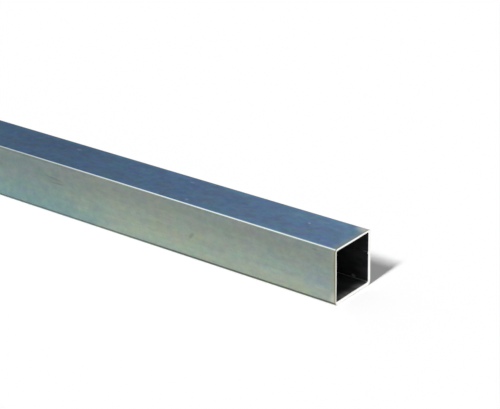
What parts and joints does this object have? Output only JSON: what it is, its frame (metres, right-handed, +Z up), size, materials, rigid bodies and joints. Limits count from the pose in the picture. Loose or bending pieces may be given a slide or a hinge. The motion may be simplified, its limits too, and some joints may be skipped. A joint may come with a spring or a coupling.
{
  "type": "square metal tube",
  "caption": "Straight square steel tube with rounded corners and an open hollow, welded along one wall, sawn square and deburred at both ends.",
  "frame": {"origin": "on the floor under the middle of the tube", "axes": "+X along the tube, +Y towards the welded wall, +Z up"},
  "size_m": [1, 0.05, 0.05],
  "materials": {
    "zinc_plated_steel": "zinc plated and passivated, satin, with soft blue, green and straw-coloured patches, bare bright metal on the sawn ends"
  },
  "bodies": {
    "root": {"square_tube": "zinc_plated_steel"}
  },
  "joints": []
}
